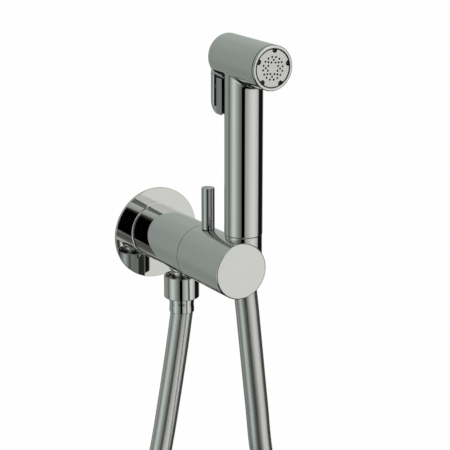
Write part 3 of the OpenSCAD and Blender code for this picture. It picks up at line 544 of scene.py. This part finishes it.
piece(moved(tail, HOLDER), "conical_tail", "hand_shower", chrome,
      ["handset_tail"])
grip = turned([(GRIP_BORE, SEAT_Z), (GRIP_R, SEAT_Z), (GRIP_R, GRIP_TOP),
               (GRIP_BORE, GRIP_TOP)], 256)
grip = rounded(grip, 0.45, 3, lambda p: p.z < SEAT_Z + 1 and off_axis(p) > GRIP_R - 0.5)
ear = moved(drill(EAR_R, 0, EAR_WIDE, 48), Matrix.Translation((EAR_LEFT, PIVOT_Y, PIVOT_Z))
            @ Matrix.Rotation(math.radians(90), 4, "Y"))


def slab(centre, size, turn=0):
    """A block of this size, turned by so many degrees about its upright middle line."""
    bm = bmesh.new()
    bmesh.ops.create_cube(bm, size=1, matrix=Matrix.Translation(centre)
                          @ Matrix.Rotation(math.radians(turn), 4, "Z")
                          @ Matrix.Diagonal((*size, 1)))
    return bm


root = slab((EAR_LEFT + EAR_WIDE / 2, PIVOT_Y - 2.7, PIVOT_Z), (EAR_WIDE, 5.6, 2 * EAR_R))


def fillet(upright_r, level_r, radius, height):
    """The rolled fillet where an upright tube meets a level one above it, axis to axis."""
    steps, segments = 192, 10
    bm = bmesh.new()
    loops = []
    for k in range(steps):
        turn = math.tau * k / steps
        out = Vector((math.cos(turn), math.sin(turn), 0))
        ball = out * (upright_r + radius)
        ball.z = height - math.sqrt((level_r + radius) ** 2 - ball.x ** 2)
        to_tube = -out
        to_head = Vector((-ball.x, 0, height - ball.z)).normalized()
        arc = [ball + to_tube.slerp(to_head, i / segments) * radius for i in range(segments + 1)]
        inside = out * (upright_r - 0.5)
        inside.z = height - math.sqrt(level_r ** 2 - inside.x ** 2) + 0.8
        loops.append([bm.verts.new(point) for point in (*arc, inside)])
    for first, second in zip(loops, loops[1:] + loops[:1]):
        for i in range(len(first)):
            j = (i + 1) % len(first)
            bm.faces.new((first[i], first[j], second[j], second[i]))
    bmesh.ops.recalc_face_normals(bm, faces=bm.faces)
    return bm


piece(moved(joined(grip, ear, root, fillet(GRIP_R, HEAD_R, 3.5, HEAD_Z)), HOLDER), "grip_tube",
      "hand_shower", chrome, ["handset_tube"])

# Head: a chromed cylinder across the top of the grip, with rounded rims. Its front is open
# and holds the spray insert, and a fine groove lined in black as painted shade sets off the
# front rim.
AT_HEAD = HOLDER @ Matrix.Translation((0, 0, HEAD_Z))
HEAD = AT_HEAD @ ON_WALL
HEAD_START, HEAD_END = -21, 34.25
MOUTH_R, MOUTH_FLOOR = 12.55, 27
GROOVE_R, GROOVE_START, GROOVE_END = 14.05, 32.3, 33.1
shell = turned([(0, HEAD_START), (HEAD_R, HEAD_START), (HEAD_R, GROOVE_START),
                (GROOVE_R, GROOVE_START), (GROOVE_R, GROOVE_END), (HEAD_R, GROOVE_END),
                (HEAD_R, HEAD_END), (MOUTH_R, HEAD_END), (MOUTH_R, MOUTH_FLOOR),
                (0, MOUTH_FLOOR)], 256)
shell = rounded(shell, 1.3, 8, lambda p: off_axis(p) > HEAD_R - 0.5 and p.z < 0)
shell = rounded(shell, 0.8, 5, lambda p: off_axis(p) > HEAD_R - 0.5 and p.z > HEAD_END - 0.25)
shell = rounded(shell, 0.3, 3, lambda p: off_axis(p) < MOUTH_R + 0.25 and p.z > HEAD_END - 0.25)
# The groove's faces are lined in black as painted shade.
shell = lined(shell, lambda p, n: GROOVE_START - 0.1 < p.z < GROOVE_END + 0.1
              and GROOVE_R - 0.05 < off_axis(p) < HEAD_R - 0.1)
piece(moved(shell, HEAD), "head_cylinder", "hand_shower", chrome,
      ["head_shell"], black_plastic)

# Spray plate: a flat satin disc with three rings of fine jets. Five round notches in its rim
# fit over small pegs of the black insert behind it.
PLATE_R, PLATE_BACK, PLATE_FRONT, PLATE_TURN = 11.85, 32, 34, -6.5
JET_R, JET_RINGS = 0.7, ((3.9, 8, 22.5), (5.3, 8, 0), (7.2, 16, 11.25))
JET_FIELD_R = 8
NOTCH_R, NOTCH_OUT, NOTCHES = 1.8, PLATE_R - 0.4, 5


def through(radius, steps, distance, angle):
    """The cutter of a round hole this far from the plate's middle."""
    turn = Matrix.Rotation(math.radians(PLATE_TURN + angle), 4, "Z")
    rod = drill(radius, PLATE_BACK - 2, PLATE_FRONT + 1, steps)
    return moved(rod, turn @ Matrix.Translation((distance, 0, 0)))


disc = rounded(drill(PLATE_R, PLATE_BACK, PLATE_FRONT, 192), 0.12, 2)
bits = [through(JET_R, 16, distance, first + 360 * k / count)
        for distance, count, first in JET_RINGS for k in range(count)]
bits += [through(NOTCH_R, 32, NOTCH_OUT, 90 + 360 * k / NOTCHES) for k in range(NOTCHES)]


def satin_plate():
    satin = Finish("satin_spray_plate")
    grain = satin.noise(0.0004, 3)
    return satin.surface(
        base_color=satin.mixed(grain, (0.56, 0.56, 0.55), (0.62, 0.62, 0.61)),
        metallic=0.9, roughness=grain * 0.08 + 0.3, normal=satin.bump(grain, 0.00001, 0.25))


# The walls of the jets are lined in black as painted shade.
disc = lined(cut(disc, joined(*bits)), lambda p, n: abs(n.z) < 0.5 and off_axis(p) < JET_FIELD_R)
piece(moved(disc, HEAD), "spray_disc", "hand_shower", satin_plate(),
      ["spray_plate"], black_plastic)

# Trigger: the chromed lever behind the grip that opens the spray. Its saddle follows the
# tube, its top clears the head, and two grooves set off a panel in each side. Its inner faces
# and its grooves are lined in black as painted shade.
LOW, HIGH, BACK, HALF_W = -36.8, -6, 22, 12.3
SADDLE_R, SADDLE_Y = 12.9, 2.6
HEAD_BACK, CLEAR_R = 19.6, 16.1
SLOT_WIDE, SLOT_BACK, SLOT_DEEP = 9.2, 19.8, 21.7
GROOVE_FLOOR, GROOVE_CUT = 10.1, 2.8


def clear_r(y):
    """The room under the head, wider to the front, where the trigger swings up."""
    return CLEAR_R - 0.05 * min(y, HEAD_BACK) - 0.5 * max(y - HEAD_BACK, 0)


trigger = slab((0, BACK / 2, (LOW + HIGH) / 2), (2 * HALF_W, BACK, HIGH - LOW))
trigger = rounded(trigger, 8.2, 16, lambda p: p.y > BACK - 0.1 and p.z < LOW + 0.1
                  and abs(p.x) < 1)
trigger = rounded(trigger, 2.2, 7, lambda p: abs(p.x) > HALF_W - 0.1 and p.y > 1
                  and p.z < HIGH - 0.1)
saddle = moved(drill(SADDLE_R, -60, 10, 192), Matrix.Translation((0, SADDLE_Y, 0)))
under_head = moved(turned([(0, 0), (clear_r(0), 0), (clear_r(HEAD_BACK), HEAD_BACK),
                           (clear_r(25), 25), (0, 25)], 192),
                   Matrix.Rotation(math.radians(-90), 4, "X"))
slot = slab((0, SLOT_BACK / 2, -SLOT_DEEP / 2), (SLOT_WIDE, SLOT_BACK, SLOT_DEEP))


def groove(side, y, z, width, height):
    """The cutter of a groove in one side of the trigger, with softened corners."""
    middle = GROOVE_FLOOR + GROOVE_CUT / 2
    return rounded(slab((middle * side, y, z), (GROOVE_CUT, width, height)), 0.6, 4,
                   lambda p: abs(abs(p.x) - middle) < 1)


def painted_shade_faces(p, n):
    """The trigger's faces lined in black as painted shade: its saddle, its top, its slot and its
    grooves.
    """
    on_saddle = abs(math.hypot(p.x, p.y - SADDLE_Y) - SADDLE_R) < 0.15
    on_top = p.y < HEAD_BACK and abs(math.hypot(p.x, p.z) - clear_r(p.y)) < 0.15
    inside = abs(p.x) < 11.7 and p.y < SLOT_BACK + 0.1 and p.z > -32.2
    on_panel = abs(n.x) > 0.9 and abs(p.x) > GROOVE_FLOOR + 0.7
    return on_saddle or on_top or (inside and not on_panel)


grooves = []
for side in (-1, 1):
    bevelled_wall = slab((12.49 * side, 17.43, -21.2), (1.6, 3.4, 20.1), -28 * side)
    tilted_panel = slab((12.61 * side, 7.77, -25.6), (2, 11.2, 29.8), -7 * side)
    grooves += [groove(side, 15.55, -21.2, 4.2, 20.2), groove(side, 7, -11.5, 19, 2.1),
                bevelled_wall, tilted_panel]
lever_skin = lined(cut(trigger, saddle, under_head, slot, *grooves), painted_shade_faces)
piece(moved(lever_skin, AT_HEAD), "spray_trigger", "squeeze_lever", chrome,
      ["trigger"], black_plastic)

# Studio: a pale floor far below, a large light tent that only shows in the metal, two soft
# lamps, and the camera where the photographer's stood.
CAMERA = Vector((-0.5569, -1.0109, 0.3341))
AZIMUTH, ELEVATION = math.radians(-31.306), math.radians(16.013)
FLOOR_Z, FLOOR_HALF, TENT_R = -0.56, 6, 3
COOL, WARM = (0.93, 1.02, 0.95), (0.99, 1.0, 0.95)
PANELS = [
    (-180, 0.45, COOL), (-150, 0.385, COOL), (-122, 0.365, COOL), (-111, 0.44, COOL),
    (-95, 0.16, COOL), (-60, 0.95, COOL), (-26, 0.31, COOL), (-14, 0.2, COOL), (-9, 0.0, COOL),
    (7, 0.0, WARM), (9, 0.42, WARM), (46, 0.94, WARM), (66, 1.0, WARM), (92, 0.66, WARM),
    (99, 0.01, WARM), (145, 0.01, WARM), (156, 0.5, COOL)]
HEIGHTS = [(0.0, 0.3), (0.03, 0.05), (0.15, 0.05), (0.2, 0.71), (0.36, 0.78), (0.6, 0.8),
           (0.75, 1.0)]


def pale_floor():
    """White where it is seen, and matt where it only throws light back."""
    pale = Finish("pale_floor")
    seen = pale.rays("Is Camera Ray", "Is Glossy Ray", "Is Transmission Ray")
    matt = pale.node("ShaderNodeBsdfDiffuse", {}, {"Color": (0.86, 0.86, 0.86, 1)})
    white = pale.node("ShaderNodeEmission", {}, {"Color": (1, 1, 1, 1), "Strength": 1.0})
    return pale.ended(pale.node("ShaderNodeMixShader", {}, {0: seen * 0.985, 1: matt, 2: white}))


def tent_cloth():
    """Light and dark panels round the object, by their angle from the camera's side in degrees
    and their strength, with a dark slot ahead and a level of light for each height."""
    cloth = Finish("light_tent")
    spot = cloth.node("ShaderNodeSeparateXYZ", {}, {0: cloth.object_place()})
    x, y, z = cloth.outputs(spot, "X", "Y", "Z")
    right = x * math.cos(AZIMUTH) + y * math.sin(AZIMUTH)
    ahead = x * math.sin(AZIMUTH) - y * math.cos(AZIMUTH)
    angle = cloth.math("ARCTAN2", right, ahead)
    turn = angle / math.tau + 0.5
    rise = z / TENT_R
    facing = ahead / cloth.math("SQRT", right * right + ahead * ahead)
    panels = cloth.node("ShaderNodeValToRGB", {"stops": [
        (place / 360 + 0.5, [level * part for part in tone])
        for place, level, tone in PANELS]}, {0: turn})
    heights = cloth.node("ShaderNodeValToRGB", {"stops": [
        (place, [level] * 3) for place, level in HEIGHTS]}, {0: rise * 0.5 + 0.5})
    slot_ahead = cloth.eased(turn, 0.472, 0.481) * cloth.eased(turn, 0.558, 0.542)
    dark_above = (cloth.eased(facing, 0.2, 0.5) * cloth.eased(rise, 0.02, 0.2)
                  * cloth.eased(turn, 0.467, 0.45) * 0.3)
    horizon = (cloth.eased(facing, -0.88, -0.95) * cloth.eased(rise, -0.28, -0.3)
               * cloth.eased(rise, -0.6, -0.54) * 0.9)
    low_ahead = cloth.eased(facing, 0.8, 0.9) * cloth.eased(rise, -0.38, -0.47) * 0.65
    strength = (cloth.node("ShaderNodeRGBToBW", {}, {0: heights}) * (1 / 0.78)
                * (1 - dark_above) * (1 - horizon) * (1 - low_ahead))
    light = cloth.mixed(slot_ahead * cloth.eased(rise, 0.02, 0.1), panels, (0, 0, 0))
    light = cloth.mixed(slot_ahead * cloth.eased(rise, 0.42, 0.7), light, (0.6, 0.64, 0.6))
    light = cloth.node("ShaderNodeVectorMath", {"operation": "SCALE"}, {
        0: light, "Scale": strength})
    return cloth.ended(cloth.node("ShaderNodeEmission", {}, {"Color": light, "Strength": 1.0}))


def studio_air():
    """Even white air, as bright as white paper where it is seen."""
    air = Finish("studio_air", world=True)
    strength = air.rays("Is Camera Ray", "Is Glossy Ray") * 0.4 + 0.6
    return air.ended(air.node("ShaderNodeBackground", {}, {
        "Color": (1, 1, 1, 1), "Strength": strength}))


floor_skin = bmesh.new()
bmesh.ops.create_grid(floor_skin, x_segments=1, y_segments=1, size=FLOOR_HALF)
floor_mesh = plain_mesh(moved(floor_skin, Matrix.Translation((0, 0, FLOOR_Z))), "floor")
floor_mesh.materials.append(pale_floor())
floor = placed("floor", floor_mesh)
floor.visible_glossy = False

tent_skin = bmesh.new()
bmesh.ops.create_uvsphere(tent_skin, u_segments=48, v_segments=24, radius=TENT_R)
tent_mesh = plain_mesh(tent_skin, "light_tent")
tent_mesh.materials.append(tent_cloth())
tent = placed("light_tent", tent_mesh)
tent.visible_camera = tent.visible_diffuse = tent.visible_shadow = False
tent.visible_transmission = tent.visible_volume_scatter = False
bpy.context.scene.world = studio_air()


def soft_lamp(name, place, size, power):
    """A square lamp turned to the mixer, which doesn't show in the metal."""
    lamp = bpy.data.lights.new(name, "AREA")
    lamp.shape, lamp.size, lamp.energy = "SQUARE", size, power
    made = placed(name, lamp)
    made.location = place
    made.rotation_mode = "QUATERNION"
    made.rotation_quaternion = (Vector((0, -0.06, 0.02)) - made.location).to_track_quat("-Z", "Y")
    made.visible_glossy = False


soft_lamp("left_lamp", Vector((-1.4, -1.1, 1.0)), 1.2, 14)
soft_lamp("right_lamp", Vector((1.5, -1.3, 1.3)), 1.2, 16)

eye = bpy.data.cameras.new("camera")
eye.sensor_width, eye.lens = 36, 136.69
eye.clip_start, eye.clip_end = 0.05, 20
camera = placed("camera", eye)
camera.location = CAMERA
back = Vector((math.sin(AZIMUTH) * math.cos(ELEVATION), -math.cos(AZIMUTH) * math.cos(ELEVATION),
               math.sin(ELEVATION)))
camera.rotation_mode = "QUATERNION"
camera.rotation_quaternion = (-back).to_track_quat("-Z", "Y")
bpy.context.scene.camera = camera
